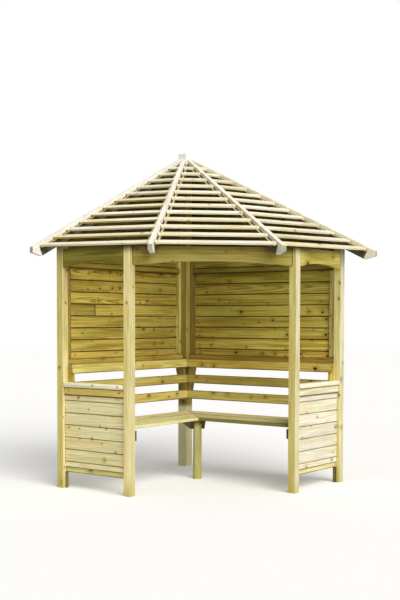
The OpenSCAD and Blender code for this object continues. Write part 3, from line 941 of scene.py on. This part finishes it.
class Heads:
    """Collects the heads of screws or nails, which become one mesh."""

    def __init__(self):
        self.points, self.faces = [], []

    def add(self, point, normal, radius, recess):
        """A head with a chamfered rim; a screw's has a cross-shaped recess."""
        u = normal.orthogonal().normalized()
        v = normal.cross(u)
        rings = [(1.0, -HEAD_SINK), (1.0, HEAD_RISE * RIM_RISE), (HEAD_TOP, HEAD_RISE)]
        if recess:
            rings += [(None, HEAD_RISE), (None, HEAD_RISE - HEAD_SINK)]
        first = len(self.points)
        for share, height in rings:
            for i in range(HEAD_SIDES):
                cross = CROSS_TIP if i % (HEAD_SIDES // 4) == 0 else CROSS_NOTCH
                r = radius * (share or cross)
                angle = i / HEAD_SIDES * math.tau
                spoke = u * math.cos(angle) + v * math.sin(angle)
                self.points.append(point + spoke * r + normal * height)
        for ring in range(len(rings) - 1):
            for i in range(HEAD_SIDES):
                a = first + ring * HEAD_SIDES + i
                b = first + ring * HEAD_SIDES + (i + 1) % HEAD_SIDES
                self.faces.append((a, b, b + HEAD_SIDES, a + HEAD_SIDES))
        last = first + (len(rings) - 1) * HEAD_SIDES
        self.faces.append(tuple(range(last, last + HEAD_SIDES)))
        self.faces.append(tuple(range(first + HEAD_SIDES - 1, first - 1, -1)))

    def on(self, timber, at, shares, facing, radius=SCREW_RADIUS, recess=True, surface=None):
        """Heads at a distance along a timber, at shares of its half width, on one face. Where
        its surface is given, only the heads that rest on it."""
        along, across, depth = timber.axes
        normal = depth if depth.dot(facing) > 0 else -depth
        for share in shares:
            point = timber.middle + along * at + across * (share * timber.half[1])
            point += normal * timber.half[2]
            if surface is None or rests(surface, point, normal):
                self.add(point, normal, radius, recess)

    def make(self, name):
        """Makes one piece of the collected heads."""
        mesh = bpy.data.meshes.new(name)
        mesh.from_pydata(self.points, [], self.faces)
        place = mesh.attributes.new("place", "FLOAT_VECTOR", "POINT")
        place.data.foreach_set("vector", [x for p in self.points for x in p])
        riding(name, mesh, screw_metal)


def rests(surface, point, normal):
    """Whether the whole of a screw's head lies on wood, and not over a cut end."""
    u = normal.orthogonal().normalized() * SCREW_RADIUS * HEAD_ROOM
    v = normal.cross(u)
    lift = normal * ARRIS_REACH
    return all(
        surface.ray_cast(point + spoke + lift, -normal, ARRIS_REACH + HEAD_SINK)[0]
        for spoke in (u, v, -u, -v)
    )


def screwed(node, others, shares, facing):
    """Screws through each timber of a node where it crosses a timber of the others."""
    heads = Heads()
    mesh = bpy.data.objects[node + ".timber"].data
    points = [v.co for v in mesh.vertices]
    surface = BVHTree.FromPolygons(points, [p.vertices for p in mesh.polygons])
    for timber in TIMBERS[node]:
        for other in (t for name in others for t in TIMBERS[name]):
            at = crossing(timber, other)
            if at is not None:
                heads.on(timber, at, shares, facing, surface=surface)
    heads.make(node + ".screws")


def nailed(node, facing, from_end):
    """Two nails at each end of a panel's boards, on its outside."""
    heads = Heads()
    for timber in TIMBERS[node]:
        for at in (from_end - timber.half[0], timber.half[0] - from_end):
            if timber.half[1] > NAILED_HALF:
                heads.on(timber, at, NAIL_SHARES, facing, NAIL_RADIUS, False)
    heads.make(node + ".nails")


for side in ("left", "right"):
    out = WALLS[side].to_3x3() @ Vector((0, -1, 0))
    side_out = SIDES[side].to_3x3() @ Vector((0, -1, 0))
    seat_bearers = ["seat_leg_bearers", side + "_end_bearer"]
    nailed(side + "_wall_boards", out, WALL_NAIL_END)
    nailed(side + "_side_boards", side_out, SIDE_NAIL_END)
    screwed(side + "_seat_boards", seat_bearers, SCREW_SHARES, Z)
    screwed(side + "_backrest_boards", [side + "_backrest_brackets"], SCREW_SHARES, -out)
for panel in ("left", "centre", "right"):
    screwed(panel + "_roof_slats", [panel + "_roof_battens"], (0.0,), Z)

# ---- Floor, light and camera ----

FLOOR_SIZE = 80.0
FLOOR_BOUNCE = 0.60              # how much light the floor gives back to the arbor
FLOOR_LIFT = 0.12                # what the floor lacks to look white
AMBIENT = 0.31                   # strength of the plain surroundings
LAMPS = (
    # name, strength, degrees across, and where its light comes from
    ("key", 2.6, 45, Vector((0.26, -0.76, 0.66))),
    ("fill", 0.6, 60, Vector((0.60, -0.75, 0.12))),
)
LAMP_COLOUR = (1.0, 0.985, 0.95)


class World(Shader):
    """The same short calls, for the world's nodes."""

    def __init__(self, name):
        self.material = bpy.data.worlds.new(name)
        self.material.use_nodes = True
        self.nodes = self.material.node_tree.nodes
        self.surface = self.nodes["Background"]


def to_the_eye(s):
    """1 for the rays that show the background: from the camera, or by way of metal or glass."""
    path = s.add("LightPath").outputs
    eye = s.math("MAXIMUM", path["Is Camera Ray"], path["Is Glossy Ray"])
    return s.math("MAXIMUM", eye, path["Is Transmission Ray"])


floor_mesh = bpy.data.meshes.new("floor")
half = FLOOR_SIZE / 2
corners = [(-half, -half, 0), (half, -half, 0), (half, half, 0), (-half, half, 0)]
floor_mesh.from_pydata(corners, [], [(0, 1, 2, 3)])
floor = bpy.data.objects.new("floor", floor_mesh)
bpy.context.scene.collection.objects.link(floor)
paint = Shader("floor_paint")
eye = to_the_eye(paint)
pale = paint.mix(eye, (FLOOR_BOUNCE, FLOOR_BOUNCE, FLOOR_BOUNCE, 1), (1, 1, 1, 1))
paint.feed(paint.surface.inputs["Base Color"], pale)
paint.surface.inputs["Emission Color"].default_value = (1, 1, 1, 1)
paint.feed(paint.surface.inputs["Emission Strength"], paint.math("MULTIPLY", eye, FLOOR_LIFT))
paint.surface.inputs["Roughness"].default_value = 1.0
paint.surface.inputs["Specular IOR Level"].default_value = 0.0
floor_mesh.materials.append(paint.material)

world = World("studio")
bpy.context.scene.world = world.material
world.surface.inputs["Color"].default_value = (1, 1, 1, 1)
level = world.ramp(to_the_eye(world), 0.0, 1.0, AMBIENT, 1.0)
world.feed(world.surface.inputs["Strength"], level)

for name, strength, softness, direction in LAMPS:
    light = bpy.data.lights.new(name, "SUN")
    light.energy = strength
    light.angle = math.radians(softness)
    light.color = LAMP_COLOUR
    lamp = bpy.data.objects.new(name, light)
    bpy.context.scene.collection.objects.link(lamp)
    lamp.rotation_euler = direction.to_track_quat("Z", "Y").to_euler()

CAMERA_PLACE = Vector((-1.1322, -8.6216, 1.2282))
CAMERA_YAW = math.radians(7.732)
CAMERA_PITCH = math.radians(-2.544)
CAMERA_ROLL = math.radians(0.109)
camera_data = bpy.data.cameras.new("camera")
camera_data.lens = 62.745
camera_data.sensor_width = 36
camera_data.shift_x = 0.0169
camera_data.shift_y = 0.1078
camera_data.dof.use_dof = False
camera = bpy.data.objects.new("camera", camera_data)
bpy.context.scene.collection.objects.link(camera)
camera.matrix_world = (
    Matrix.Translation(CAMERA_PLACE)
    @ Matrix.Rotation(-CAMERA_YAW, 4, "Z")
    @ Matrix.Rotation(math.radians(90) + CAMERA_PITCH, 4, "X")
    @ Matrix.Rotation(CAMERA_ROLL, 4, "Z")
)
bpy.context.scene.camera = camera
bpy.context.scene.view_settings.view_transform = "Standard"
